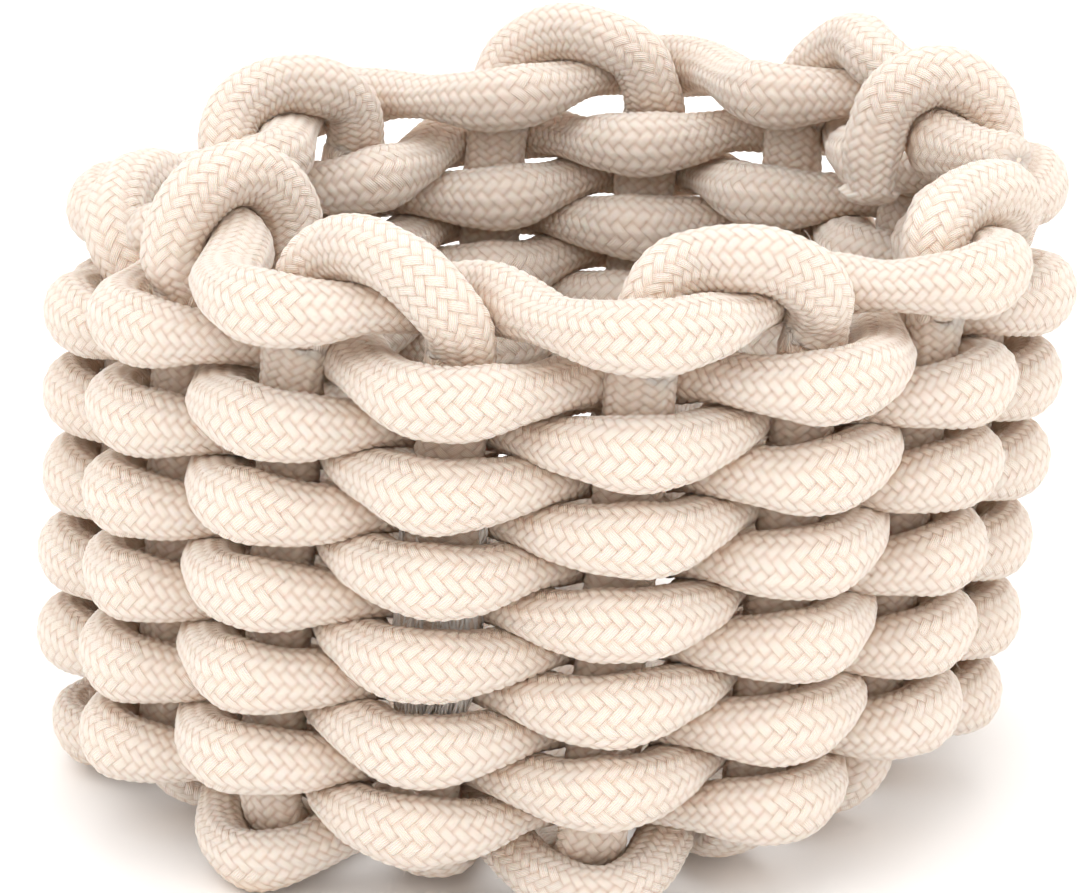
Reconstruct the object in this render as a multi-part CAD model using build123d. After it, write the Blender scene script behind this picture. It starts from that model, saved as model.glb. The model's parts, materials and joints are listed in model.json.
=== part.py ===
"""Hand-woven storage basket of thick braided cotton rope.

Sixteen upright stakes are the raised ends of eight ropes that cross in a plain weave as the base. Two weaver
ropes chase each other down the wall as a two-start spiral, one outside a stake where the other is inside. At
the rim, seven short ropes join neighbouring stakes in arches, and two stakes fold inward over the top row.

Frame: millimetres, +Z up. The basket stands on z = 0 with the origin under its middle. The front is -Y. An
azimuth is in degrees, 0 at the front, and turns towards +X. A place on the wall is an azimuth and a depth,
which is the distance down the stakes from the level where the top row starts.
"""
from build123d import *
import os
from math import asin, ceil, cos, pi, radians, sin

# Wall and rows
STAKE_COUNT = 16
RIM_RADIUS = 127.0            # stake centreline to the axis, at the rim
RIM_AXIS_X = 4.2              # the rim's axis, so that the origin is under the middle of the leaning basket
WALL_DRAW_IN = 4.5            # how much smaller the radius is where the wall meets the elbow
WALL_LEAN = 13.0              # how far the base sits towards -X of the rim
ROW_COUNT = 13                # rows of weaver in the front column
FRONT_LEVEL = 0.9             # share of the spiral's slope that is missing in front and made up behind
RIM_LIFT = 8.0                # how far the loose top row stands above an even spacing
ELBOW_RADIUS = 18.0           # centreline radius where a stake turns from the wall into the base

# Rope sections: the rope is soft, so it flattens where it is pressed
STAKE_WIDTH = 18.2
STAKE_THICKNESS = 13.2
BUMP_HEIGHT = 19.6            # weaver where it passes over a stake
BUMP_THICKNESS = 16.4
NECK_HEIGHT = 12.2            # weaver where it passes between two stakes
NECK_THICKNESS = 19.2
BUMP_SWELL = 1.4              # how the weaver swells from neck to bump: 1 is full, 2 is slender
CORNER_BUMP_HEIGHT = 14.6     # weaver crowded into the inside corner above the base
CORNER_PUSH = 8.0             # how far that crowding moves it towards the axis
CORNER_SQUEEZE = 0.8          # how much thinner the crowded rows are, as a share
BASE_ROPE_WIDTH = 22.5
BASE_ROPE_THICKNESS = 10.0
RIM_ROPE = 17.0               # rim arches and folds, nearly round
FRAYED_WIDTH = 22.0           # loosened end of the arch that hangs down the front of the wall
FRAYED_FLATTENING = 3.6       # how much thinner than a stake that end is
CLEARANCE = 0.3               # between ropes that press on each other
WEAVE_GAP = 1.7               # between weaver and stake in the middle of a bump, so that their flanks clear
FOOT_FLAT = 0.4               # depth of the flat under each base rope where it stands

# Base weave: distance of the cross ropes from the middle
INNER_CROSS_OFFSET = 16.5
OUTER_CROSS_OFFSET = 49.0

# Rim
FOLD_TAIL = 14.0              # how far a folded stake's end hangs below the top row, inside
FRAYED_ROW = 8.15             # depth of the frayed end, in rows
LEAST_LEG = 1.5               # rows that a rim rope reaches down a stake at least
JOIN_ABOVE_BUMP = 5.0         # a stake meets its rim rope this far above the middle of a covering bump
FRAY_START = 4.0              # depth at which that end begins to open, in rows
FRAYED_STAKE = 15             # the stake it hangs on, left of the middle at the front
ARCH_STAKES = [14, 0, 2, 5, 7, 9, 11]     # each arch joins this stake to the next one
FOLD_STAKES = {"right": 4, "left": 13}
LEG_SHOULDER = 12.0           # below the middle of the top row, where a stake begins to bend
OVER_NECK = (NECK_HEIGHT + RIM_ROPE) / 2 + CLEARANCE      # lift that takes an arch over the top row
ARCH_LINE = [                 # share of the way to the next stake, offset outward, lift above the row
    (0.0, 0.0, -LEG_SHOULDER),
    (0.02, -2.0, 0.0),
    (0.10, -3.5, OVER_NECK - 6.4),
    (0.30, -3.5, OVER_NECK - 1.1),
    (0.53, 0.5, OVER_NECK + 0.5),
    (0.76, 4.0, OVER_NECK - 3.1),
    (0.94, 4.0, OVER_NECK - 11.4),
    (1.0, 1.2, -4.0),
    (1.0, 0.0, -LEG_SHOULDER),
]

# Smoothness
SECTIONS_PER_STAKE = 10       # sections along a weaver from one stake to the next
WALL_STEP = 12.0              # longest step between sections on a straight stake
BASE_STEP = 5.0               # longest step between sections on a bent or woven stretch
RIM_STEP = 4.0

# Worked out from the values above
STAKE_ANGLE = 360.0 / STAKE_COUNT
FIRST_STAKE = STAKE_ANGLE / 2
ROW_PITCH = NECK_HEIGHT + CLEARANCE
FRAYED_THICKNESS = STAKE_THICKNESS - FRAYED_FLATTENING
WEAVE_OFFSET = (STAKE_THICKNESS + BUMP_THICKNESS) / 2 + WEAVE_GAP
BASE_WAVE = BASE_ROPE_THICKNESS / 2 + CLEARANCE
BASE_LEVEL = BASE_WAVE + BASE_ROPE_THICKNESS / 2 - FOOT_FLAT
ELBOW_CENTRE_Z = BASE_LEVEL + ELBOW_RADIUS
ELBOW_LENGTH = ELBOW_RADIUS * pi / 2

# Weaver A starts halfway between two stakes at the front left, and weaver B seven stakes on
A_START = -3 * STAKE_ANGLE
B_START = A_START + 7 * STAKE_ANGLE
A_END = A_START + 360.0 * (ROW_COUNT - 0.5) / 2
B_END = A_END + 180.0


def row_depth(azimuth, weaver):
    """Depth of a weaver's centreline; azimuths run on past 360 degrees as the spiral goes down."""
    held_level = FRONT_LEVEL * (sin(radians(azimuth)) - sin(radians(A_START))) / pi
    depth = ROW_PITCH * ((azimuth - A_START) / 180.0 - held_level)
    return depth if weaver == "a" else depth - ROW_PITCH


LOWEST_BUMP_DEPTH = row_depth(A_END - FIRST_STAKE, "a")
LOWEST_BUMP_TILT = asin((ELBOW_CENTRE_Z - BUMP_HEIGHT / 2) / (ELBOW_RADIUS + WEAVE_OFFSET))
ELBOW_DEPTH = LOWEST_BUMP_DEPTH - ELBOW_RADIUS * LOWEST_BUMP_TILT
RIM_LEVEL = ELBOW_CENTRE_Z + ELBOW_DEPTH


def outward(azimuth):
    return Vector(sin(radians(azimuth)), -cos(radians(azimuth)), 0)


def ramp(value, low, high):
    share = min(1.0, max(0.0, (value - low) / (high - low)))
    return share * share * (3 - 2 * share)


def mix(first, second, share):
    return first + (second - first) * share


def wall_place(azimuth, depth):
    """Centre and outward normal of the stake surface at a depth: wall, then elbow, then base."""
    out = outward(azimuth)
    down_share = min(depth, ELBOW_DEPTH) / ELBOW_DEPTH
    tilt = min(max(depth - ELBOW_DEPTH, 0) / ELBOW_RADIUS, pi / 2)
    past_elbow = max(depth - ELBOW_DEPTH - ELBOW_LENGTH, 0)
    radius = RIM_RADIUS - WALL_DRAW_IN * down_share - ELBOW_RADIUS * (1 - cos(tilt)) - past_elbow
    level = RIM_LEVEL - min(depth, ELBOW_DEPTH) - ELBOW_RADIUS * sin(tilt)
    level += RIM_LIFT * (1 - ramp(depth, 0, 1.5 * ROW_PITCH))
    centre = out * radius + Vector(RIM_AXIS_X - WALL_LEAN * down_share, 0, level)
    return centre, out * cos(tilt) - Vector(0, 0, sin(tilt))


def rope(stations, before=None, after=None):
    """A closed rope through stations of (centre, normal, thickness along the normal, width across it).

    The stations before and after it, where the rope is only cut, give its end faces their direction.
    """
    row = [before or stations[0]] + stations + [after or stations[-1]]
    sections = []
    for index, (centre, normal, thickness, width) in enumerate(stations, 1):
        along = (row[index + 1][0] - row[index - 1][0]).normalized()
        across = along.cross(normal).normalized()
        plane = Plane(origin=centre, x_dir=across.cross(along), z_dir=along)
        sections.append(Wire([Edge.make_ellipse(thickness / 2, width / 2, plane=plane)]))
    return Solid.make_loft(sections, True)


def steps(start, end, longest):
    count = max(1, ceil(abs(end - start) / longest))
    return [start + (end - start) * index / count for index in range(count + 1)]


# Weavers

def weaver_side(azimuth, weaver):
    """1 where the weaver is outside a stake, -1 where it is inside, 0 halfway between."""
    side = cos(pi * (azimuth + FIRST_STAKE + STAKE_ANGLE) / STAKE_ANGLE)
    return side if weaver == "a" else -side


def weaver_station(azimuth, weaver):
    depth = row_depth(azimuth, weaver)
    side = weaver_side(azimuth, weaver)
    inside_share = (1 - side) / 2
    corner_share = inside_share * ramp(depth, ELBOW_DEPTH, LOWEST_BUMP_DEPTH)
    centre, normal = wall_place(azimuth, depth)
    centre = centre + normal * (WEAVE_OFFSET * side) - outward(azimuth) * (CORNER_PUSH * corner_share)
    bump_height = mix(BUMP_HEIGHT, CORNER_BUMP_HEIGHT, corner_share)
    swell = abs(side) ** BUMP_SWELL
    crowded = ramp(depth, ELBOW_DEPTH - ROW_PITCH, ELBOW_DEPTH + ROW_PITCH / 2)
    squeeze = mix(1.0, CORNER_SQUEEZE, crowded)
    height = mix(NECK_HEIGHT * mix(1.0, squeeze, 0.75), bump_height, swell)
    thickness = mix(NECK_THICKNESS, BUMP_THICKNESS, swell) * squeeze
    return centre, normal, thickness, height


def weaver_lengths(weaver, start, end):
    """One rope length per turn, cut halfway between two stakes where the next one carries on."""
    step = STAKE_ANGLE / SECTIONS_PER_STAKE
    lengths = []
    turn_start = start
    while turn_start < end - 1:
        turn_end = min(turn_start + 360.0, end)
        azimuths = steps(turn_start, turn_end, step)
        lengths.append(rope(
            [weaver_station(azimuth, weaver) for azimuth in azimuths],
            weaver_station(turn_start - step, weaver),
            weaver_station(turn_end + step, weaver),
        ))
        turn_start = turn_end
    return lengths


# Stakes and base

def stake_azimuth(index):
    """Stake 0 is the one right of the middle at the front; the others follow towards +X and round."""
    return STAKE_ANGLE * index + FIRST_STAKE


def top_weaver(azimuth):
    return "a" if (azimuth - A_START) % 360.0 < B_START - A_START else "b"


def top_row_depth(azimuth):
    turned = A_START + (azimuth - A_START) % 360.0
    return row_depth(turned, top_weaver(azimuth))


def covering_bump_depth(azimuth, least_depth):
    """Depth of the first bump outside a stake at or below a depth."""
    weaver = "a" if weaver_side(azimuth, "a") > 0 else "b"
    depth = row_depth(A_START + (azimuth - A_START) % 360.0, weaver)
    while depth < least_depth:
        depth += 2 * ROW_PITCH
    return depth


def stake_top(index):
    """Depth at which a stake meets its rim rope, hidden behind a bump."""
    least_rows = FRAYED_ROW if index == FRAYED_STAKE else LEAST_LEG
    return covering_bump_depth(stake_azimuth(index), least_rows * ROW_PITCH) - JOIN_ABOVE_BUMP


def stake_stations(azimuth, top):
    """The upright part of a cross rope, from its top down the wall and round the elbow."""
    depths = steps(top, ELBOW_DEPTH, WALL_STEP)[:-1]
    depths += steps(ELBOW_DEPTH, ELBOW_DEPTH + ELBOW_LENGTH, BASE_STEP)
    stations = []
    for depth in depths:
        centre, normal = wall_place(azimuth, depth)
        flat_share = ramp(depth, ELBOW_DEPTH, ELBOW_DEPTH + ELBOW_LENGTH)
        thickness = mix(STAKE_THICKNESS, BASE_ROPE_THICKNESS, flat_share)
        width = mix(STAKE_WIDTH, BASE_ROPE_WIDTH, flat_share)
        stations.append((centre, normal, thickness, width))
    return stations


CROSS_OFFSETS = [-OUTER_CROSS_OFFSET, -INNER_CROSS_OFFSET, INNER_CROSS_OFFSET, OUTER_CROSS_OFFSET]
BASE_MIDDLE = Vector(RIM_AXIS_X - WALL_LEAN, 0, BASE_LEVEL)


def crossing_level(rope_index, crossing_index, runs_along_x):
    over = (rope_index + crossing_index) % 2 == 0
    return BASE_WAVE if over == runs_along_x else -BASE_WAVE


def base_stations(rope_index, runs_along_x, last_foot):
    """The woven part of a cross rope between the feet of its two stakes, without the feet themselves."""
    along = Vector(1, 0, 0) if runs_along_x else Vector(0, 1, 0)
    aside = Vector(0, 1, 0) if runs_along_x else Vector(1, 0, 0)
    offset = CROSS_OFFSETS[rope_index]
    reach = (last_foot[0] - BASE_MIDDLE).dot(along)
    stops = [-reach] + CROSS_OFFSETS + [reach]
    levels = [0.0] + [crossing_level(rope_index, index, runs_along_x) for index in range(4)] + [0.0]
    foot_aside = (last_foot[0] - BASE_MIDDLE).dot(aside)
    stations = []
    for index in range(len(stops) - 1):
        places = steps(stops[index], stops[index + 1], BASE_STEP)[:-1]
        for place in places:
            share = (place - stops[index]) / (stops[index + 1] - stops[index])
            level = mix(levels[index], levels[index + 1], (1 - cos(pi * share)) / 2)
            spread = max(0.0, (abs(place) - OUTER_CROSS_OFFSET) / (reach - OUTER_CROSS_OFFSET)) ** 2
            centre = BASE_MIDDLE + along * place + aside * mix(offset, foot_aside, spread)
            centre = centre + Vector(0, 0, level)
            stations.append((centre, Vector(0, 0, -1), BASE_ROPE_THICKNESS, BASE_ROPE_WIDTH))
    return stations[1:]


def cross_rope(rope_index, runs_along_x):
    """A rope that crosses the base and rises as two opposite stakes."""
    if runs_along_x:
        first, last = 13 - rope_index, 2 + rope_index
    else:
        first, last = (14 + rope_index) % STAKE_COUNT, 9 - rope_index
    down = stake_stations(stake_azimuth(first), stake_top(first))
    up = stake_stations(stake_azimuth(last), stake_top(last))
    middle = base_stations(rope_index, runs_along_x, up[-1])
    below_floor = Pos(0, 0, -BASE_LEVEL) * Box(3 * RIM_RADIUS, 3 * RIM_RADIUS, 2 * BASE_LEVEL)
    return rope(down + middle + up[::-1]) - below_floor


# Rim

def rim_place(azimuth, offset, lift, row_level):
    """A point beside the stakes: offset outward from them, lifted above the middle of the top row."""
    centre = wall_place(azimuth, 0)[0] + outward(azimuth) * offset
    return Vector(centre.X, centre.Y, row_level + lift)


def shoulder_depth(row_level):
    """Depth on the wall that is LEG_SHOULDER below the middle of the top row."""
    depth = 0.0
    while wall_place(0, depth)[0].Z > row_level - LEG_SHOULDER:
        depth += 0.05
    return depth


def leg_section(depth, frayed):
    share = ramp(depth, FRAY_START * ROW_PITCH, (FRAY_START + 1) * ROW_PITCH) if frayed else 0.0
    return mix(STAKE_THICKNESS, FRAYED_THICKNESS, share), mix(STAKE_WIDTH, FRAYED_WIDTH, share)


def leg_stations(azimuth, top, bottom, frayed=False):
    stations = []
    for depth in steps(top, bottom, WALL_STEP if not frayed else BASE_STEP):
        centre, normal = wall_place(azimuth, depth)
        stations.append((centre, normal) + leg_section(depth, frayed))
    return stations


def bend_stations(points, azimuth_from, azimuth_to, row_level):
    """Stations on a smooth line through points, rising from a stake and rounding out above the row."""
    line = Spline(*points, tangents=[(0, 0, 1), (0, 0, -1)])
    stations = []
    for share in steps(0.0, 1.0, RIM_STEP / line.length)[1:-1]:
        centre = line.position_at(share)
        normal = outward(mix(azimuth_from, azimuth_to, share))
        if azimuth_from == azimuth_to:
            along = line.tangent_at(share)
            normal = outward(azimuth_from + 90).cross(along)
        round_share = ramp(centre.Z - row_level, -LEG_SHOULDER, 0)
        stations.append((
            centre,
            normal,
            mix(STAKE_THICKNESS, RIM_ROPE, round_share),
            mix(STAKE_WIDTH, RIM_ROPE, round_share),
        ))
    return stations


def rim_arch(first):
    """Joins two stakes: up inside the top row, over it, and down outside it."""
    start, end = stake_azimuth(first), stake_azimuth(first + 1)
    depth = top_row_depth((start + end) / 2)
    row_level = wall_place(start, depth)[0].Z
    points = [
        rim_place(mix(start, end, share), offset, lift, row_level)
        for share, offset, lift in ARCH_LINE
    ]
    frayed = (first + 1) % STAKE_COUNT == FRAYED_STAKE
    bottom = FRAYED_ROW * ROW_PITCH if frayed else stake_top((first + 1) % STAKE_COUNT) - CLEARANCE
    shoulder = shoulder_depth(row_level)
    rising = leg_stations(start, stake_top(first) - CLEARANCE, shoulder)
    falling = leg_stations(end, shoulder, bottom, frayed)
    bend = bend_stations(points, start, end, row_level)
    return rope(rising + bend + falling)


def rim_fold(stake):
    """A stake's end folded inward over the top row, which is inside the stake here."""
    azimuth = stake_azimuth(stake)
    depth = top_row_depth(azimuth)
    across_row = (BUMP_THICKNESS + RIM_ROPE) / 2 + WEAVE_GAP
    over_row = (BUMP_HEIGHT + RIM_ROPE) / 2 + WEAVE_GAP
    line = [(0.0, -LEG_SHOULDER)]
    for turned in steps(0, pi, pi / 6):
        line.append((across_row * cos(turned) - WEAVE_OFFSET, over_row * sin(turned)))
    line.append((-across_row - WEAVE_OFFSET, -FOLD_TAIL))
    row_level = wall_place(azimuth, depth)[0].Z
    points = [rim_place(azimuth, offset, lift, row_level) for offset, lift in line]
    rising = leg_stations(azimuth, stake_top(stake) - CLEARANCE, shoulder_depth(row_level))
    bend = bend_stations(points, azimuth, azimuth, row_level)
    tail = (points[-1], -outward(azimuth), RIM_ROPE, RIM_ROPE)
    return rope(rising + bend + [tail])


# The basket

nodes = {}
for turn, solid in enumerate(weaver_lengths("a", A_START, A_END), 1):
    nodes[f"weaver_a_turn_{turn}"] = solid
for turn, solid in enumerate(weaver_lengths("b", B_START, B_END), 1):
    nodes[f"weaver_b_turn_{turn}"] = solid
for rope_index in range(4):
    nodes[f"cross_rope_x_{rope_index + 1}"] = cross_rope(rope_index, True)
    nodes[f"cross_rope_y_{rope_index + 1}"] = cross_rope(rope_index, False)
for number, first in enumerate(ARCH_STAKES, 1):
    nodes[f"rim_arch_{number}"] = rim_arch(first)
for name, stake in FOLD_STAKES.items():
    nodes[f"rim_fold_{name}"] = rim_fold(stake)

os.makedirs("parts", exist_ok=True)
for name, solid in nodes.items():
    export_step(solid, f"parts/{name}.step")
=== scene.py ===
import json
from math import asin, ceil, pi
import bpy
import numpy as np
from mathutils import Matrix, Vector

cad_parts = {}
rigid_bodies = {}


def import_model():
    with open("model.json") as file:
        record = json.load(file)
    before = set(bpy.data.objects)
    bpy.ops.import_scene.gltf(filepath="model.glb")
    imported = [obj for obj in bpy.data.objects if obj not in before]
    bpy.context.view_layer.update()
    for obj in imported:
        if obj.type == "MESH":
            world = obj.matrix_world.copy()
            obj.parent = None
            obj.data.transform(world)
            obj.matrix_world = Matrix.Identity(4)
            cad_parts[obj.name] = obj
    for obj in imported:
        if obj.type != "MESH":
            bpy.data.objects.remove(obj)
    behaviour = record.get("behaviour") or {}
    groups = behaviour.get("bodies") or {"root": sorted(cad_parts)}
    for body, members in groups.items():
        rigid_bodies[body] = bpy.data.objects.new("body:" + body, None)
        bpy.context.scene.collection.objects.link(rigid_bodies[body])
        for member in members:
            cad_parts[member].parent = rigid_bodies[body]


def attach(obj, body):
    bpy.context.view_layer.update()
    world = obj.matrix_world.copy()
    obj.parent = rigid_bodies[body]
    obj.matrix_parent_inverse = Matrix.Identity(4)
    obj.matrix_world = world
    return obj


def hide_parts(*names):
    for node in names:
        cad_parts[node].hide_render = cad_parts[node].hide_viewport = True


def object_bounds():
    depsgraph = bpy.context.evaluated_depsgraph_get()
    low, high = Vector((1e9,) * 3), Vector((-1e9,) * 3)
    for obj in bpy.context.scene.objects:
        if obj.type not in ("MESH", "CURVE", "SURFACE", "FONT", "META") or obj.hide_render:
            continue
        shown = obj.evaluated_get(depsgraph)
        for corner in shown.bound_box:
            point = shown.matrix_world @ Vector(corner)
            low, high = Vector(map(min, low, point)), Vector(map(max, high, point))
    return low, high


# Hand-woven basket of braided cotton rope. Each rope follows the CAD's own line and gets its braid of 28
# strands, its rolls and small slips, its cut ends and its fuzz. Lines are worked out in millimetres, with the
# same named values as the CAD, and a mesh is in metres.

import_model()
cad_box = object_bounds()
MM = 0.001

# Wall and rows
STAKE_COUNT = 16
RIM_RADIUS = 127.0
RIM_AXIS_X = 4.2
WALL_DRAW_IN = 4.5
WALL_LEAN = 13.0
ROW_COUNT = 13
FRONT_LEVEL = 0.9
RIM_LIFT = 8.0
ELBOW_RADIUS = 18.0

# Rope sections
STAKE_WIDTH = 18.2
STAKE_THICKNESS = 13.2
BUMP_HEIGHT = 19.6
BUMP_THICKNESS = 16.4
NECK_HEIGHT = 12.2
NECK_THICKNESS = 19.2
BUMP_SWELL = 1.4
CORNER_BUMP_HEIGHT = 14.6
CORNER_PUSH = 8.0
CORNER_SQUEEZE = 0.8
BASE_ROPE_WIDTH = 22.5
BASE_ROPE_THICKNESS = 10.0
RIM_ROPE = 17.0
FRAYED_WIDTH = 22.0
FRAYED_THICKNESS = 9.6
CLEARANCE = 0.3
WEAVE_GAP = 1.7
FOOT_FLAT = 0.4
INNER_CROSS_OFFSET = 16.5
OUTER_CROSS_OFFSET = 49.0

# Rim
FOLD_TAIL = 14.0
FOLD_POINTS = 7
FRAYED_ROW = 8.15
LEAST_LEG = 1.5
JOIN_ABOVE_BUMP = 5.0
FRAY_START = 4.0
FRAYED_STAKE = 15
ARCH_STAKES = [14, 0, 2, 5, 7, 9, 11]
FOLD_STAKES = {"right": 4, "left": 13}
LEG_SHOULDER = 12.0
OVER_NECK = (NECK_HEIGHT + RIM_ROPE) / 2 + CLEARANCE
ARCH_LINE = [                 # share of the way round, offset from the wall, lift above the row
    (0.0, 0.0, -LEG_SHOULDER),
    (0.02, -2.0, 0.0),
    (0.10, -3.5, OVER_NECK - 6.4),
    (0.30, -3.5, OVER_NECK - 1.1),
    (0.53, 0.5, OVER_NECK + 0.5),
    (0.76, 4.0, OVER_NECK - 3.1),
    (0.94, 4.0, OVER_NECK - 11.4),
    (1.0, 1.2, -4.0),
    (1.0, 0.0, -LEG_SHOULDER),
]

# Braid: as many strands wind each way, an even number, and each passes over two and under two
STRANDS_EACH_WAY = 14
STRAND_PITCH = 3.05           # along the rope, from one strand to the next
STRAND_CROWN = 0.5            # how far the middle of a strand stands above its edges
STRAND_WAVE = 0.5             # how far a strand rises from under to over
YARNS_PER_STRAND = 5
RING_POINTS = 72
RING_STEP = 0.73              # along the rope, from one ring of points to the next
FINE_STEP = 0.5               # spacing of the points that a line is worked out from
FINE_ANGLES = 2001            # points that an even spacing round the rope is worked out from
WEAVER_STEP = 0.15            # degrees round the basket, from one point of a weaver's line to the next

# Loose cotton
TAPER_START = 0.75            # how far along a loose yarn or fibre its tip begins to narrow
TIP_SHARE = 0.35              # how thick its tip is, as a share of its own thickness
FRAY_YARNS = 260
FRAY_POINTS = 26              # along each yarn
YARN_RADII = (0.32, 0.55)
YARN_STARTS = (FRAY_START + 0.1, FRAYED_ROW - 0.9)
FRINGE_LENGTHS = (3.0, 13.0)
FRINGE_ROWS = (FRAYED_ROW - 0.5, FRAYED_ROW + 0.8)
FRINGE_NARROWING = 0.12
FRINGE_LIFT = 1.5             # how far the fringe hangs out from the wall
YARN_STANDOFF = 0.3           # how far the yarns lie outside the frayed end's section
YARN_WAVELENGTHS = (2.5, 6.0)
YARN_WAVE_ASIDE = 1.1
YARN_WAVE_OUT = 0.35
FIBRES_PER_POINT = 0.004
FIBRE_POINTS = 5              # along each fibre
FIBRE_SIDES = 3
FIBRE_RADII = (0.035, 0.06)
FIBRE_LENGTHS = (1.6, 4.6)
FIBRE_RISE = 0.75             # how steeply a fibre leaves the rope
FIBRE_DROOP = 0.35            # how far its tip falls back
FIBRE_CURL = 0.5
FIBRE_ROOT = 0.15             # how deep it starts in the rope
LEAST_FIBRE_LEVEL = 0.05

# Hand-made unevenness
ROLL = 0.5                    # how far the braid rolls round the rope, in strands
SLIP = 0.45                   # how far a rope strays from its line
SWELLING = 0.025              # how much its section varies, as a share
PLUMPNESS = 1.07              # soft rope fills out against its neighbours, as a share of the CAD's section
SLIP_WAVELENGTHS = (47, 61)   # along the rope, for its slips in the two directions across it
SWELL_WAVELENGTH = 33
ROLL_WAVELENGTH = 140
WAVE_RATIOS = (1.0, 0.62, 0.37)
WAVES_TOGETHER = 1.4          # brings their sum back to about -1 to 1

# Cross-section of a strand, and how flat it lies where the rope is frayed open
CROWN_ROUNDNESS = 0.94
MEAN_CROWN = 0.7
MEAN_RISE = 0.6
CROWN_SHARE = 0.65
OPENED_FLATTENING = 0.6
END_RELIEF = 0.6              # the relief at the middle of a cut end

# Domed ends
DOME_TURNS = (25, 50, 70, 84)  # degrees from the rope's side to the tip, for each ring of the dome
DOME_BULGE = 0.45             # its length, as a share of half the rope's thickness
DOME_STRETCH = 1.6            # how much more braid runs over it than its length

STAKE_ANGLE = 360.0 / STAKE_COUNT
FIRST_STAKE = STAKE_ANGLE / 2
ROW_PITCH = NECK_HEIGHT + CLEARANCE
WEAVE_OFFSET = (STAKE_THICKNESS + BUMP_THICKNESS) / 2 + WEAVE_GAP
BASE_WAVE = BASE_ROPE_THICKNESS / 2 + CLEARANCE
BASE_LEVEL = BASE_WAVE + BASE_ROPE_THICKNESS / 2 - FOOT_FLAT
ELBOW_CENTRE_Z = BASE_LEVEL + ELBOW_RADIUS
ELBOW_LENGTH = ELBOW_RADIUS * pi / 2
A_START = -3 * STAKE_ANGLE
B_START = A_START + 7 * STAKE_ANGLE
A_END = A_START + 360.0 * (ROW_COUNT - 0.5) / 2
B_END = A_END + 180.0


# Where things are

def ramp(value, low, high):
    share = np.clip((value - low) / (high - low), 0, 1)
    return share * share * (3 - 2 * share)


def mix(first, second, share):
    return first + (second - first) * share


def row_depth(azimuth, weaver):
    """How far down the stakes a weaver is; azimuths run on past 360 degrees as the spiral goes down."""
    held_level = FRONT_LEVEL * (np.sin(np.radians(azimuth)) - np.sin(np.radians(A_START))) / pi
    depth = ROW_PITCH * ((azimuth - A_START) / 180.0 - held_level)
    return depth if weaver == "a" else depth - ROW_PITCH


LOWEST_BUMP_DEPTH = row_depth(A_END - FIRST_STAKE, "a")
LOWEST_BUMP_TILT = asin((ELBOW_CENTRE_Z - BUMP_HEIGHT / 2) / (ELBOW_RADIUS + WEAVE_OFFSET))
ELBOW_DEPTH = LOWEST_BUMP_DEPTH - ELBOW_RADIUS * LOWEST_BUMP_TILT
RIM_LEVEL = ELBOW_CENTRE_Z + ELBOW_DEPTH


def outward(azimuth):
    turned = np.radians(azimuth)
    return np.stack([np.sin(turned), -np.cos(turned), np.zeros_like(turned)], axis=-1)


def unit(vectors):
    return vectors / np.linalg.norm(vectors, axis=-1, keepdims=True)


def wall_place(azimuth, depth):
    """Centres and outward normals of the stakes at these depths: wall, then elbow, then base."""
    azimuth, depth = np.broadcast_arrays(np.asarray(azimuth, float), np.asarray(depth, float))
    out = outward(azimuth)
    down_share = np.minimum(depth, ELBOW_DEPTH) / ELBOW_DEPTH
    tilt = np.clip((depth - ELBOW_DEPTH) / ELBOW_RADIUS, 0, pi / 2)
    past_elbow = np.maximum(depth - ELBOW_DEPTH - ELBOW_LENGTH, 0)
    radius = RIM_RADIUS - WALL_DRAW_IN * down_share - ELBOW_RADIUS * (1 - np.cos(tilt)) - past_elbow
    centre = out * radius[..., None]
    centre[..., 0] += RIM_AXIS_X - WALL_LEAN * down_share
    centre[..., 2] = RIM_LEVEL - np.minimum(depth, ELBOW_DEPTH) - ELBOW_RADIUS * np.sin(tilt)
    centre[..., 2] += RIM_LIFT * (1 - ramp(depth, 0, 1.5 * ROW_PITCH))
    normal = out * np.cos(tilt)[..., None]
    normal[..., 2] -= np.sin(tilt)
    return centre, normal


class Line:
    """A rope's centres, normals, thicknesses along the normal and widths across it, point by point."""

    def __init__(self, centre, normal, thickness, width):
        count = len(centre)
        self.centre = centre
        self.normal = normal
        self.thickness = np.broadcast_to(np.asarray(thickness, float), (count,))
        self.width = np.broadcast_to(np.asarray(width, float), (count,))

    def columns(self):
        return np.column_stack([self.centre, self.normal, self.thickness, self.width])

    @classmethod
    def joined(cls, *lines):
        return cls.of_columns(np.concatenate([line.columns() for line in lines]))

    @classmethod
    def of_columns(cls, columns):
        return cls(columns[:, 0:3], columns[:, 3:6], columns[:, 6], columns[:, 7])

    def reversed(self):
        return Line.of_columns(self.columns()[::-1])

    def distances(self):
        gaps = np.linalg.norm(np.diff(self.centre, axis=0), axis=1)
        return np.concatenate([[0.0], np.cumsum(gaps)])

    def cut(self, start, end, step):
        """The line from one distance along it to another, with points at even steps, and their distances."""
        at = self.distances()
        places = np.linspace(start, end, max(2, ceil((end - start) / step) + 1))
        columns = self.columns()
        made = np.column_stack([np.interp(places, at, columns[:, i]) for i in range(columns.shape[1])])
        return Line.of_columns(made), places


def spaced(start, end, step):
    return np.linspace(start, end, max(2, ceil(abs(end - start) / step) + 1))


# Weavers

def weaver_side(azimuth, weaver):
    """1 where the weaver is outside a stake, -1 where it is inside, 0 halfway between."""
    side = np.cos(pi * (azimuth + FIRST_STAKE + STAKE_ANGLE) / STAKE_ANGLE)
    return side if weaver == "a" else -side


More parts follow.
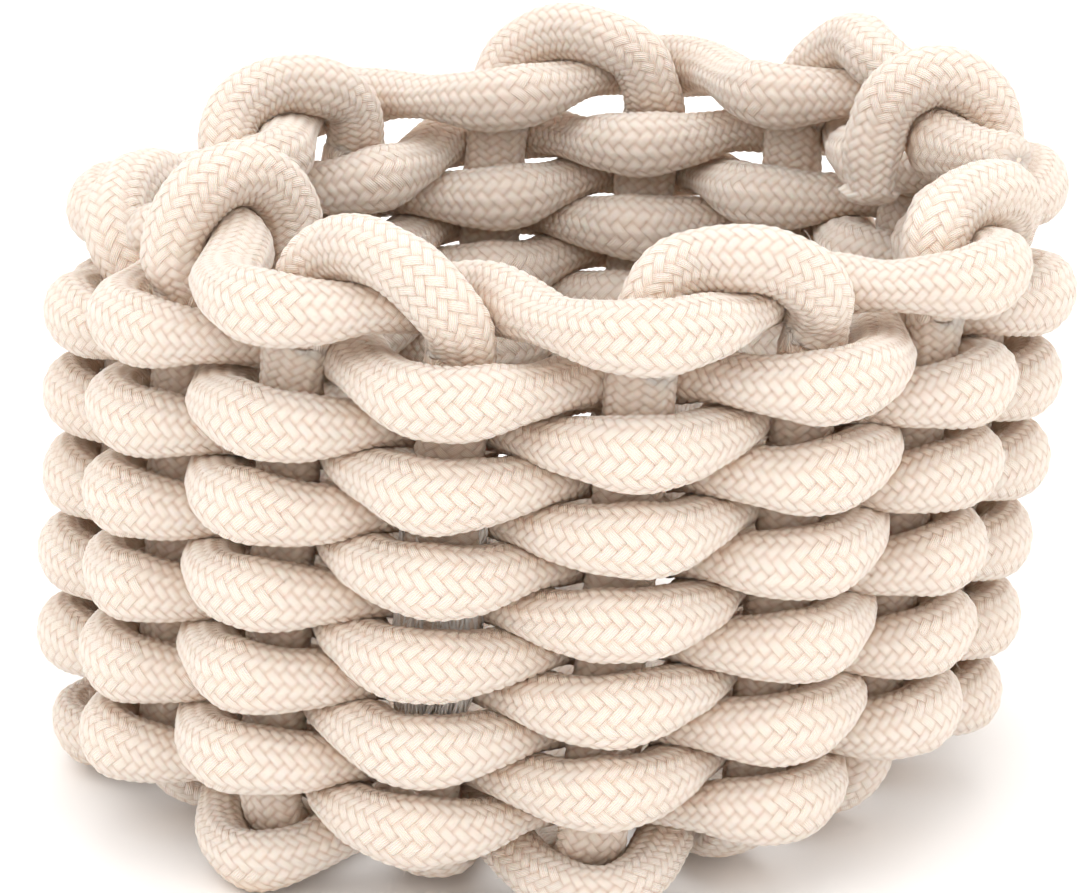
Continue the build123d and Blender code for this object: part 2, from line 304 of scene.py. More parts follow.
def weaver_line(weaver, azimuth):
    depth = row_depth(azimuth, weaver)
    side = weaver_side(azimuth, weaver)
    corner_share = (1 - side) / 2 * ramp(depth, ELBOW_DEPTH, LOWEST_BUMP_DEPTH)
    centre, normal = wall_place(azimuth, depth)
    centre = centre + normal * (WEAVE_OFFSET * side)[:, None]
    centre = centre - outward(azimuth) * (CORNER_PUSH * corner_share)[:, None]
    bump_height = mix(BUMP_HEIGHT, CORNER_BUMP_HEIGHT, corner_share)
    swell = np.abs(side) ** BUMP_SWELL
    crowded = ramp(depth, ELBOW_DEPTH - ROW_PITCH, ELBOW_DEPTH + ROW_PITCH / 2)
    squeeze = mix(1.0, CORNER_SQUEEZE, crowded)
    height = mix(NECK_HEIGHT * mix(1.0, squeeze, 0.75), bump_height, swell)
    thickness = mix(NECK_THICKNESS, BUMP_THICKNESS, swell) * squeeze
    return Line(centre, normal, thickness, height)


# Stakes and base

def stake_azimuth(index):
    return STAKE_ANGLE * index + FIRST_STAKE


def top_weaver(azimuth):
    return "a" if (azimuth - A_START) % 360.0 < B_START - A_START else "b"


def top_row_depth(azimuth):
    turned = A_START + (azimuth - A_START) % 360.0
    return row_depth(turned, top_weaver(azimuth))


def covering_bump_depth(azimuth, least_depth):
    """Depth of the first bump outside a stake at or below a depth."""
    weaver = "a" if weaver_side(azimuth, "a") > 0 else "b"
    depth = row_depth(A_START + (azimuth - A_START) % 360.0, weaver)
    while depth < least_depth:
        depth += 2 * ROW_PITCH
    return depth


def stake_top(index):
    least_rows = FRAYED_ROW if index == FRAYED_STAKE else LEAST_LEG
    return covering_bump_depth(stake_azimuth(index), least_rows * ROW_PITCH) - JOIN_ABOVE_BUMP


def stake_line(index):
    """The upright part of a cross rope, from its top down the wall and round the elbow."""
    depth = spaced(stake_top(index), ELBOW_DEPTH + ELBOW_LENGTH, FINE_STEP)
    centre, normal = wall_place(stake_azimuth(index), depth)
    flat_share = ramp(depth, ELBOW_DEPTH, ELBOW_DEPTH + ELBOW_LENGTH)
    thickness = mix(STAKE_THICKNESS, BASE_ROPE_THICKNESS, flat_share)
    return Line(centre, normal, thickness, mix(STAKE_WIDTH, BASE_ROPE_WIDTH, flat_share))


CROSS_OFFSETS = [-OUTER_CROSS_OFFSET, -INNER_CROSS_OFFSET, INNER_CROSS_OFFSET, OUTER_CROSS_OFFSET]
BASE_MIDDLE = np.array([RIM_AXIS_X - WALL_LEAN, 0.0, BASE_LEVEL])


def base_line(rope_index, runs_along_x, last_foot):
    """The woven part of a cross rope between the feet of its two stakes, without the feet themselves."""
    along, aside = (0, 1) if runs_along_x else (1, 0)
    reach = last_foot[along] - BASE_MIDDLE[along]
    foot_aside = last_foot[aside] - BASE_MIDDLE[aside]
    stops = np.array([-reach] + CROSS_OFFSETS + [reach])
    over = [((rope_index + crossing) % 2 == 0) == runs_along_x for crossing in range(4)]
    levels = np.array([0.0] + [BASE_WAVE if is_over else -BASE_WAVE for is_over in over] + [0.0])
    place = spaced(-reach, reach, FINE_STEP)[1:-1]
    index = np.clip(np.searchsorted(stops, place, side="right") - 1, 0, len(stops) - 2)
    share = (place - stops[index]) / (stops[index + 1] - stops[index])
    spread = np.maximum(0, (np.abs(place) - OUTER_CROSS_OFFSET) / (reach - OUTER_CROSS_OFFSET)) ** 2
    centre = np.tile(BASE_MIDDLE, (len(place), 1))
    centre[:, along] += place
    centre[:, aside] += mix(CROSS_OFFSETS[rope_index], foot_aside, spread)
    centre[:, 2] += mix(levels[index], levels[index + 1], (1 - np.cos(pi * share)) / 2)
    down = np.tile([0.0, 0.0, -1.0], (len(place), 1))
    return Line(centre, down, BASE_ROPE_THICKNESS, BASE_ROPE_WIDTH)


def cross_rope_line(rope_index, runs_along_x):
    if runs_along_x:
        first, last = 13 - rope_index, 2 + rope_index
    else:
        first, last = (14 + rope_index) % STAKE_COUNT, 9 - rope_index
    down, up = stake_line(first), stake_line(last)
    middle = base_line(rope_index, runs_along_x, up.centre[-1])
    return Line.joined(down, middle, up.reversed())


# Rim

def rim_place(azimuth, offset, lift, row_level):
    centre = wall_place(azimuth, 0)[0] + outward(azimuth) * offset
    return np.array([centre[0], centre[1], row_level + lift])


def shoulder_depth(row_level):
    """Depth on the wall that is LEG_SHOULDER below the middle of the top row."""
    depth = np.arange(0, 3 * ROW_PITCH, 0.05)
    level = wall_place(0, depth)[0][:, 2]
    return depth[np.argmax(level <= row_level - LEG_SHOULDER)]


def leg_line(azimuth, top, bottom, frayed=False):
    depth = spaced(top, bottom, FINE_STEP)
    centre, normal = wall_place(azimuth, depth)
    share = ramp(depth, FRAY_START * ROW_PITCH, (FRAY_START + 1) * ROW_PITCH) * frayed
    thickness = mix(STAKE_THICKNESS, FRAYED_THICKNESS, share)
    width = mix(STAKE_WIDTH, FRAYED_WIDTH, share)
    return Line(centre, normal, thickness, width)


def smooth_curve(points, step):
    """A smooth line through points that starts straight up and ends straight down, and its tangents."""
    points = np.array(points)
    knots = np.concatenate([[0.0], np.cumsum(np.linalg.norm(np.diff(points, axis=0), axis=1))])
    gaps = np.diff(knots)
    slopes = np.diff(points, axis=0) / gaps[:, None]
    count = len(points)
    matrix, wanted = np.eye(count), np.zeros((count, 3))
    wanted[0], wanted[-1] = (0, 0, 1), (0, 0, -1)
    for i in range(1, count - 1):
        matrix[i, i - 1:i + 2] = gaps[i], 2 * (gaps[i - 1] + gaps[i]), gaps[i - 1]
        wanted[i] = 3 * (gaps[i] * slopes[i - 1] + gaps[i - 1] * slopes[i])
    tangents = np.linalg.solve(matrix, wanted)
    place = spaced(0, knots[-1], step)
    index = np.clip(np.searchsorted(knots, place, side="right") - 1, 0, count - 2)
    gap = gaps[index][:, None]
    t = (place - knots[index])[:, None] / gap
    start, end, leave, arrive = points[index], points[index + 1], tangents[index], tangents[index + 1]
    curve = start * (1 + 2 * t) * (1 - t) ** 2 + end * t * t * (3 - 2 * t)
    curve += gap * (leave * t * (1 - t) ** 2 - arrive * t * t * (1 - t))
    return curve, unit(np.gradient(curve, axis=0))


def bend_line(points, azimuth_from, azimuth_to, row_level):
    """A bend that rises from a stake and rounds out above the row."""
    curve, tangents = smooth_curve(points, FINE_STEP)
    share = np.linspace(0, 1, len(curve))
    if azimuth_from == azimuth_to:
        normal = np.cross(outward(azimuth_from + 90), tangents)
    else:
        normal = outward(mix(azimuth_from, azimuth_to, share))
    round_share = ramp(curve[:, 2] - row_level, -LEG_SHOULDER, 0)
    thickness = mix(STAKE_THICKNESS, RIM_ROPE, round_share)
    width = mix(STAKE_WIDTH, RIM_ROPE, round_share)
    return Line.of_columns(Line(curve, normal, thickness, width).columns()[1:-1])


def rim_arch_line(first):
    start, end = stake_azimuth(first), stake_azimuth(first + 1)
    row_level = wall_place(start, top_row_depth((start + end) / 2))[0][2]
    points = [rim_place(mix(start, end, share), offset, lift, row_level) for share, offset, lift in ARCH_LINE]
    frayed = (first + 1) % STAKE_COUNT == FRAYED_STAKE
    bottom = FRAYED_ROW * ROW_PITCH if frayed else stake_top((first + 1) % STAKE_COUNT) - CLEARANCE
    shoulder = shoulder_depth(row_level)
    rising = leg_line(start, stake_top(first) - CLEARANCE, shoulder)
    falling = leg_line(end, shoulder, bottom, frayed)
    return Line.joined(rising, bend_line(points, start, end, row_level), falling)


def rim_fold_line(stake):
    azimuth = stake_azimuth(stake)
    across_row = (BUMP_THICKNESS + RIM_ROPE) / 2 + WEAVE_GAP
    over_row = (BUMP_HEIGHT + RIM_ROPE) / 2 + WEAVE_GAP
    turned = np.linspace(0, pi, FOLD_POINTS)
    offsets = [0.0, *(across_row * np.cos(turned) - WEAVE_OFFSET), -across_row - WEAVE_OFFSET]
    lifts = [-LEG_SHOULDER, *(over_row * np.sin(turned)), -FOLD_TAIL]
    row_level = wall_place(azimuth, top_row_depth(azimuth))[0][2]
    points = [rim_place(azimuth, offset, lift, row_level) for offset, lift in zip(offsets, lifts)]
    rising = leg_line(azimuth, stake_top(stake) - CLEARANCE, shoulder_depth(row_level))
    tail = Line(np.array([points[-1]]), -outward(azimuth)[None], RIM_ROPE, RIM_ROPE)
    return Line.joined(rising, bend_line(points, azimuth, azimuth, row_level), tail)


# Meshes

def wander(places, wavelength, seed):
    """A smooth random value of about -1 to 1 at each place, from a few waves of unrelated lengths."""
    rng = np.random.default_rng(seed)
    total = np.zeros_like(places)
    for ratio in WAVE_RATIOS:
        total += np.sin(2 * pi * (places / (wavelength * ratio) + rng.random())) * ratio
    return total / WAVES_TOGETHER


def new_mesh(name, points, faces):
    """A mesh object from points in millimetres and rows of corner numbers; a triangle's row ends in -1."""
    mesh = bpy.data.meshes.new(name)
    is_corner = faces >= 0
    sizes = is_corner.sum(axis=1)
    mesh.vertices.add(len(points))
    mesh.vertices.foreach_set("co", (points * MM).astype(np.float32).ravel())
    mesh.loops.add(int(sizes.sum()))
    mesh.loops.foreach_set("vertex_index", faces[is_corner].astype(np.int32))
    mesh.polygons.add(len(faces))
    mesh.polygons.foreach_set("loop_start", (np.cumsum(sizes) - sizes).astype(np.int32))
    mesh.polygons.foreach_set("use_smooth", np.full(len(faces), True))
    mesh.update(calc_edges=True)
    mesh.validate()
    piece = bpy.data.objects.new(name, mesh)
    bpy.context.scene.collection.objects.link(piece)
    return piece


def braid_height(a, b, openness):
    """How far the braid stands above the rope's mean surface, and 0 in its gaps to 1 on its crowns.

    Strands wind one way where a is whole and the other way where b is; which one is on top follows from the
    pair of numbers, two over and two under.
    """
    which = np.mod(np.floor(a) - np.floor(b), 4)
    first_on_top = which < 2
    across = np.where(first_on_top, a % 1, b % 1) - 0.5
    along = np.where(first_on_top, b % 1 + (which == 0), a % 1 + (which == 3))
    crown = np.sqrt(1 - CROWN_ROUNDNESS * (2 * across) ** 2)
    rise = np.sin(pi * along / 2)
    height = STRAND_CROWN * (crown - MEAN_CROWN) + STRAND_WAVE * (rise - MEAN_RISE)
    relief = np.clip(mix(rise, crown, CROWN_SHARE), 0, 1)
    return height * (1 - OPENED_FLATTENING * openness), relief


def ring_angles(flatness):
    """Angles round an ellipse that space its points evenly."""
    fine = np.linspace(0, 2 * pi, FINE_ANGLES)
    gap = np.hypot(np.diff(np.cos(fine)), flatness * np.diff(np.sin(fine)))
    at = np.concatenate([[0], np.cumsum(gap)])
    return np.interp(np.arange(RING_POINTS) / RING_POINTS * at[-1], at, fine)


def braided_rope(name, line, distance, seed, domed=(False, False), openness=0.0):
    """The mesh of a braided rope along a line, with its ends cut flat or domed."""
    along = unit(np.gradient(line.centre, axis=0))
    across = unit(np.cross(along, line.normal))
    normal = np.cross(across, along)
    slip = SLIP * np.stack([wander(distance, SLIP_WAVELENGTHS[i], seed + i) for i in range(2)])
    centre = line.centre + normal * slip[0][:, None] + across * slip[1][:, None]
    swelling = PLUMPNESS + SWELLING * wander(distance, SWELL_WAVELENGTH, seed + 2)
    half_thickness, half_width = line.thickness / 2 * swelling, line.width / 2 * swelling
    shrink = np.ones(len(centre))
    for end, is_domed in zip((0, -1), domed):
        if not is_domed:
            continue
        turned = np.radians(DOME_TURNS)
        added = len(DOME_TURNS)
        bulge = half_thickness[end] * DOME_BULGE * np.sin(turned) * (1 if end else -1)
        cap = centre[end] + along[end] * bulge[:, None]
        order = slice(None) if end else slice(None, None, -1)

        def extended(values, extra):
            extra = extra[order]
            return np.concatenate([values, extra] if end else [extra, values])

        centre = extended(centre, cap)
        across = extended(across, np.tile(across[end], (added, 1)))
        normal = extended(normal, np.tile(normal[end], (added, 1)))
        distance = extended(distance, distance[end] + bulge * DOME_STRETCH)
        half_thickness = extended(half_thickness, np.full(added, half_thickness[end]))
        half_width = extended(half_width, np.full(added, half_width[end]))
        shrink = extended(shrink, np.cos(turned))
        if np.ndim(openness):
            openness = extended(openness, np.full(added, openness[end]))

    angle = ring_angles(half_width.mean() / half_thickness.mean())
    cos, sin = np.cos(angle), np.sin(angle)
    a_of, b_of = half_thickness[:, None], half_width[:, None]
    outwards = unit(normal[:, None] * (cos * b_of)[..., None] + across[:, None] * (sin * a_of)[..., None])
    rolled = ROLL * wander(distance, ROLL_WAVELENGTH, seed + 3)
    turns = np.arange(RING_POINTS) / RING_POINTS * STRANDS_EACH_WAY + rolled[:, None]
    steps = (distance / STRAND_PITCH)[:, None]
    opened = np.broadcast_to(openness, distance.shape)[:, None]
    height, relief = braid_height(steps + turns, steps - turns, opened)
    points = centre[:, None] + normal[:, None] * (a_of * cos * shrink[:, None])[..., None]
    points = points + across[:, None] * (b_of * sin * shrink[:, None])[..., None]
    points = points + outwards * (height * shrink[:, None])[..., None]
    points = np.concatenate([points.reshape(-1, 3), centre[[0, -1]]])
    points[:, 2] = np.maximum(points[:, 2], 0)

    rings = len(centre)
    corner = np.arange(rings * RING_POINTS).reshape(rings, RING_POINTS)
    beside = np.roll(corner, -1, axis=1)
    quads = np.stack([corner[:-1], beside[:-1], beside[1:], corner[1:]], axis=-1).reshape(-1, 4)
    first_cap = np.stack([beside[0], corner[0], np.full(RING_POINTS, rings * RING_POINTS)], axis=-1)
    last_cap = np.stack([corner[-1], beside[-1], np.full(RING_POINTS, rings * RING_POINTS + 1)], axis=-1)
    caps = np.concatenate([first_cap, last_cap])
    faces = np.concatenate([quads, np.column_stack([caps, np.full(len(caps), -1)])])
    piece = new_mesh(name, points, faces)

    step_at = np.broadcast_to(steps, corner.shape)
    step_corner = np.stack([step_at[:-1], step_at[:-1], step_at[1:], step_at[1:]], axis=-1)
    turn_beside = np.concatenate([turns[:, 1:], turns[:, :1] + STRANDS_EACH_WAY], axis=1)
    turn_corner = np.stack([turns[:-1], turn_beside[:-1], turn_beside[1:], turns[1:]], axis=-1)
    braid_map = np.stack([step_corner + turn_corner, step_corner - turn_corner], axis=-1).reshape(-1, 2)
    cap_map = np.zeros((len(caps) * 3, 2))
    layer = piece.data.uv_layers.new(name="braid")
    layer.uv.foreach_set("vector", np.concatenate([braid_map, cap_map]).astype(np.float32).ravel())
    # The relief is also the mask that the braid material paints shade with, darker in the gaps between
    # strands
    attribute = piece.data.attributes.new("relief", "FLOAT", "POINT")
    attribute.data.foreach_set("value", np.append(relief.ravel(), [END_RELIEF] * 2).astype(np.float32))
    return piece


def thin_tubes(name, paths, radius, sides=5):
    """One mesh of thin round tubes along paths, an array of tubes by points, tapering at their tips."""
    count, length = paths.shape[:2]
    along = unit(np.gradient(paths, axis=1))
    helper = np.where(np.abs(along[..., 2:]) > 0.8, [1.0, 0.0, 0.0], [0.0, 0.0, 1.0])
    one = unit(np.cross(along, helper))
    two = np.cross(along, one)
    angle = np.arange(sides) / sides * 2 * pi
    taper = np.interp(np.linspace(0, 1, length), [0, TAPER_START, 1], [1, 1, TIP_SHARE])
    reach = np.broadcast_to(radius, (count,))[:, None] * taper
    points = paths[:, :, None] + one[:, :, None] * (reach[..., None] * np.cos(angle))[..., None]
    points = points + two[:, :, None] * (reach[..., None] * np.sin(angle))[..., None]
    corner = np.arange(count * length * sides).reshape(count, length, sides)
    beside = np.roll(corner, -1, axis=2)
    quads = np.stack([corner[:, :-1], beside[:, :-1], beside[:, 1:], corner[:, 1:]], axis=-1).reshape(-1, 4)
    first, last = corner[:, 0], corner[:, -1]
    ends = [np.stack([first[:, 0], first[:, i + 1], first[:, i]], axis=-1) for i in range(1, sides - 1)]
    ends += [np.stack([last[:, 0], last[:, i], last[:, i + 1]], axis=-1) for i in range(1, sides - 1)]
    ends = np.concatenate(ends)
    faces = np.concatenate([quads, np.column_stack([ends, np.full(len(ends), -1)])])
    return new_mesh(name, points.reshape(-1, 3), faces)


# Materials

# The sockets of a Mix node that are used when it mixes colours
MIX_SHARE, MIX_FIRST, MIX_SECOND, MIX_RESULT = 0, 6, 7, 2


class Nodes:
    """Short names for making and joining a material's nodes."""

    def __init__(self, material):
        material.use_nodes = True
        self.tree = material.node_tree
        self.shader = self.tree.nodes["Principled BSDF"]

    def add(self, kind, inputs=None, **settings):
        node = self.tree.nodes.new(kind)
        for key, value in settings.items():
            setattr(node, key, value)
        for key, value in (inputs or {}).items():
            self.put(node.inputs[key], value)
        return node

    def put(self, socket, value):
        if isinstance(value, bpy.types.NodeSocket):
            self.tree.links.new(value, socket)
        else:
            socket.default_value = value

    def math(self, operation, *values):
        node = self.add("ShaderNodeMath", dict(enumerate(values)), operation=operation)
        return node.outputs[0]

    def chosen(self, is_first, first, second):
        """The first value where is_first is 1, and the second where it is 0."""
        kept = self.math("MULTIPLY", first, is_first)
        other = self.math("MULTIPLY", second, self.math("SUBTRACT", 1.0, is_first))
        return self.math("ADD", kept, other)

    def scaled(self, value, low, high, to_low, to_high):
        inputs = {"Value": value, "From Min": low, "From Max": high, "To Min": to_low, "To Max": to_high}
        return self.add("ShaderNodeMapRange", inputs).outputs["Result"]

    def blended(self, share, first, second, kind="MIX"):
        node = self.add("ShaderNodeMix", data_type="RGBA", blend_type=kind)
        self.put(node.inputs[MIX_SHARE], share)
        self.put(node.inputs[MIX_FIRST], first)
        self.put(node.inputs[MIX_SECOND], second)
        return node.outputs[MIX_RESULT]

    def noise(self, scale, detail=2.0, roughness=0.5):
        place = self.add("ShaderNodeTexCoord").outputs["Object"]
        inputs = {"Vector": place, "Scale": scale, "Detail": detail, "Roughness": roughness}
        return self.add("ShaderNodeTexNoise", inputs).outputs["Fac"]


WHITE = (1, 1, 1, 1)
COTTON = (0.94, 0.865, 0.785, 1)
COTTON_WARM = (0.925, 0.825, 0.735, 1)
# Painted shade: the deep tan that the braid's gaps, strand edges and yarn grooves are painted towards
STRAND_GAP_PAINTED_SHADE = (0.72, 0.55, 0.43, 1)
# Painted shade: the warm tan multiplied in where ambient occlusion finds crevices between ropes
CREVICE_PAINTED_SHADE = (0.97, 0.85, 0.74, 1)
STUDIO_WHITE = (1.0, 0.985, 0.975)

# Sizes in metres, and noise scales in features per metre
# Reach of the ambient occlusion that paints shade into the crevices
PAINTED_SHADE_REACH = 0.014
BRAID_BUMP = 0.00028
YARN_BUMP = 0.0001
PATCH_SCALE = 38.0
UNEVEN_SCALE = 260.0
FIBRE_SCALE = 2600.0
LOOSE_PATCH_SCALE = 900.0
LOOSE_FIBRE_SCALE = 4000.0
PLY_TURNS = 3.0               # turns of a yarn's ply in one strand pitch


def set_cotton_shader(nodes):
    """What is the same all over undyed cotton."""
    nodes.shader.inputs["Roughness"].default_value = 0.92
    nodes.shader.inputs["Specular IOR Level"].default_value = 0.18
    nodes.shader.inputs["Sheen Weight"].default_value = 0.25
    nodes.shader.inputs["Subsurface Weight"].default_value = 0.35
    nodes.shader.inputs["Subsurface Radius"].default_value = (1.0, 0.6, 0.42)
    nodes.shader.inputs["Subsurface Scale"].default_value = 0.004
    nodes.shader.inputs["Sheen Roughness"].default_value = 0.45
    nodes.shader.inputs["Sheen Tint"].default_value = (1.0, 0.94, 0.88, 1)


def braid_material():
    """Cotton braid: fine yarns along each strand, seen as grooves, with painted shade in the gaps between the
    strands, at their edges and in the yarn grooves, and painted shade in the crevices between ropes.
    """
    material = bpy.data.materials.new("cotton_braid")
    nodes = Nodes(material)
    set_cotton_shader(nodes)
    braid = nodes.add("ShaderNodeUVMap", uv_map="braid").outputs["UV"]
    split = nodes.add("ShaderNodeSeparateXYZ", {"Vector": braid})
    a, b = split.outputs["X"], split.outputs["Y"]
    step = nodes.math("SUBTRACT", nodes.math("FLOOR", a), nodes.math("FLOOR", b))
    which = nodes.math("FLOORED_MODULO", nodes.math("ROUND", step), 4.0)
    first_on_top = nodes.math("LESS_THAN", which, 1.5)
    across = nodes.chosen(first_on_top, a, b)
    along = nodes.chosen(first_on_top, b, a)
    uneven = nodes.scaled(nodes.noise(UNEVEN_SCALE, 2.0), 0.3, 0.7, -0.35, 0.35)
    in_first_half = nodes.math("LESS_THAN", nodes.math("ABSOLUTE", nodes.math("SUBTRACT", which, 1.5)), 1.0)
    half = nodes.math("SUBTRACT", 1.0, in_first_half)
    risen = nodes.math("ADD", nodes.math("FRACT", along), half)
    rise = nodes.math("SINE", nodes.math("MULTIPLY", risen, pi / 2))
    from_middle = nodes.math("ABSOLUTE", nodes.math("SUBTRACT", nodes.math("FRACT", across), 0.5))
    crown = nodes.scaled(nodes.math("POWER", from_middle, 3.0), 0.02, 0.125, 1.0, 0.0)
    yarn_turn = nodes.math("ADD", nodes.math("MULTIPLY", across, 2 * pi * YARNS_PER_STRAND), uneven)
    yarn = nodes.scaled(nodes.math("COSINE", yarn_turn), -1.0, 1.0, 1.0, 0.0)
    ply_turn = nodes.math("ADD", nodes.math("MULTIPLY", along, 2 * pi * PLY_TURNS), yarn_turn)
    ply = nodes.scaled(nodes.math("SINE", ply_turn), -1.0, 1.0, 0.0, 1.0)
    fibre = nodes.noise(FIBRE_SCALE, 3.0, 0.65)

    stored = nodes.add("ShaderNodeAttribute", attribute_name="relief", attribute_type="GEOMETRY")
    relief = stored.outputs["Fac"]
    patches = nodes.scaled(nodes.noise(PATCH_SCALE, 3.0), 0.35, 0.7, 0.0, 0.55)
    plain = nodes.blended(patches, COTTON, COTTON_WARM)
    # Painted light and shade: the strands' crowns are painted lighter, and their edges, the dips where they
    # pass under, the low parts of the relief and the yarn grooves are painted darker, towards the deep tan
    crown_light = nodes.scaled(crown, 0.0, 1.0, 0.6, 1.0)
    rise_light = nodes.scaled(rise, 0.0, 0.6, 0.45, 1.0)
    relief_light = nodes.scaled(relief, 0.2, 0.6, 0.8, 1.0)
    top = nodes.math("MULTIPLY", nodes.math("MULTIPLY", crown_light, rise_light), relief_light)
    lit = nodes.math("MULTIPLY", top, nodes.scaled(yarn, 0.0, 1.0, 0.62, 1.0))
    painted_light_and_flecks = nodes.math("MULTIPLY", lit, nodes.scaled(fibre, 0.3, 0.7, 0.88, 1.06))
    flat = nodes.blended(painted_light_and_flecks, STRAND_GAP_PAINTED_SHADE, plain)
    # Painted shade: the colour is multiplied towards a warm tan where ambient occlusion finds rope close by,
    # darkening the crevices between ropes
    open_air = nodes.add("ShaderNodeAmbientOcclusion", {"Distance": PAINTED_SHADE_REACH}, samples=6).outputs["AO"]
    painted_crevice_shade = nodes.blended(nodes.scaled(open_air, 0.1, 0.75, 0.0, 1.0), CREVICE_PAINTED_SHADE, WHITE)
    colour = nodes.blended(1.0, flat, painted_crevice_shade, "MULTIPLY")
    nodes.put(nodes.shader.inputs["Base Color"], colour)

    grooves = nodes.math("ADD", nodes.math("MULTIPLY", yarn, 0.9), nodes.math("MULTIPLY", ply, 0.2))
    strand = nodes.math("MULTIPLY", nodes.math("ADD", crown, rise), 0.9)
    height = nodes.math("ADD", nodes.math("ADD", grooves, strand), nodes.math("MULTIPLY", fibre, 0.6))
    bump = nodes.add("ShaderNodeBump", {"Height": height, "Strength": 1.0, "Distance": BRAID_BUMP})
    nodes.put(nodes.shader.inputs["Normal"], bump.outputs["Normal"])
    return material


def yarn_material():
    """Loose cotton yarn and fibre."""
    material = bpy.data.materials.new("cotton_yarn")
    nodes = Nodes(material)
    set_cotton_shader(nodes)
    share = nodes.scaled(nodes.noise(LOOSE_PATCH_SCALE, 3.0), 0.3, 0.7, 0.0, 1.0)
    nodes.put(nodes.shader.inputs["Base Color"], nodes.blended(share, COTTON_WARM, COTTON))
    height = nodes.noise(LOOSE_FIBRE_SCALE, 3.0)
    bump = nodes.add("ShaderNodeBump", {"Height": height, "Strength": 0.6, "Distance": YARN_BUMP})
    nodes.put(nodes.shader.inputs["Normal"], bump.outputs["Normal"])
    return material


def floor_material():
    material = bpy.data.materials.new("pale_floor")
    nodes = Nodes(material)
    nodes.shader.inputs["Base Color"].default_value = (0.93, 0.92, 0.91, 1)
    nodes.shader.inputs["Roughness"].default_value = 0.8
    return material


# The ropes

def place_rope(name, line, distance, seed, material, domed=(False, False), openness=0.0):
    piece = braided_rope(f"{name}_braid", line, distance, seed, domed, openness)
    piece.data.materials.append(material)
    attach(piece, "root")
    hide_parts(name)


def make_weavers(material):
    for weaver, start, end, seed in (("a", A_START, A_END, 10), ("b", B_START, B_END, 20)):
        azimuth = spaced(start, end, WEAVER_STEP)
        whole = weaver_line(weaver, azimuth)
        at = whole.distances()
        turn_ends = [*np.arange(start, end - 1, 360.0), end]
        for turn, (turn_start, turn_end) in enumerate(zip(turn_ends, turn_ends[1:]), 1):
            cuts = np.interp([turn_start, turn_end], azimuth, at)
            line, distance = whole.cut(*cuts, RING_STEP)
            domed = (turn == 1, turn == len(turn_ends) - 1)
            place_rope(f"weaver_{weaver}_turn_{turn}", line, distance, seed, material, domed)


def place_whole(name, line, seed, material, **more):
    line, distance = line.cut(0, line.distances()[-1], RING_STEP)
    place_rope(name, line, distance, seed, material, **more)


def make_cross_ropes(material):
    for rope_index in range(4):
        for axis, runs_along_x in (("x", True), ("y", False)):
            line = cross_rope_line(rope_index, runs_along_x)
            seed = 30 + 5 * rope_index + 50 * runs_along_x
            place_whole(f"cross_rope_{axis}_{rope_index + 1}", line, seed, material)


def make_rim(material):
    for number, first in enumerate(ARCH_STAKES, 1):
        line = rim_arch_line(first)
        openness = 0.0
        frayed = (first + 1) % STAKE_COUNT == FRAYED_STAKE
        line, distance = line.cut(0, line.distances()[-1], RING_STEP)
        if frayed:
            fray_length = (FRAYED_ROW - FRAY_START) * ROW_PITCH
            openness = ramp(distance, distance[-1] - fray_length, distance[-1])
        seed = 150 + 7 * number
        place_rope(f"rim_arch_{number}", line, distance, seed, material, (False, frayed), openness)
    for name, stake in FOLD_STAKES.items():
        place_whole(f"rim_fold_{name}", rim_fold_line(stake), 230 + stake, material, domed=(False, True))


def make_fray(material):
    """The frayed end's loose yarns: all through it, and spread out as a fringe below it."""
    rng = np.random.default_rng(7)
    start = rng.uniform(*YARN_STARTS, FRAY_YARNS) * ROW_PITCH
    end = FRAYED_ROW * ROW_PITCH + rng.uniform(*FRINGE_LENGTHS, FRAY_YARNS)
    depth = start[:, None] + (end - start)[:, None] * np.linspace(0, 1, FRAY_POINTS)
    azimuth = stake_azimuth(FRAYED_STAKE)
    centre, normal = wall_place(azimuth, depth)
    aside = np.cross([0.0, 0.0, 1.0], outward(np.array(azimuth)))
    angle = rng.uniform(0, 2 * pi, FRAY_YARNS)[:, None]
    hanging = ramp(depth, FRINGE_ROWS[0] * ROW_PITCH, FRINGE_ROWS[1] * ROW_PITCH)
    reach = mix(1.0, np.sqrt(rng.uniform(0, 1, FRAY_YARNS))[:, None], hanging)
    wavelength, shift = rng.uniform(*YARN_WAVELENGTHS, (2, FRAY_YARNS, 1))
    half_width = FRAYED_WIDTH / 2 + YARN_STANDOFF
    half_thickness = FRAYED_THICKNESS / 2 + YARN_STANDOFF
    sideways = half_width * np.sin(angle) * reach * (1 - FRINGE_NARROWING * hanging)
    sideways = sideways + YARN_WAVE_ASIDE * np.sin(depth / wavelength + 3 * shift)
    proud = half_thickness * np.cos(angle) * reach + YARN_WAVE_OUT * np.cos(depth / wavelength)
    paths = centre + aside * sideways[..., None] + normal * (proud + FRINGE_LIFT * hanging)[..., None]
    yarns = thin_tubes("frayed_yarns", paths, rng.uniform(*YARN_RADII, FRAY_YARNS))
    yarns.data.materials.append(material)
    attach(yarns, "root")


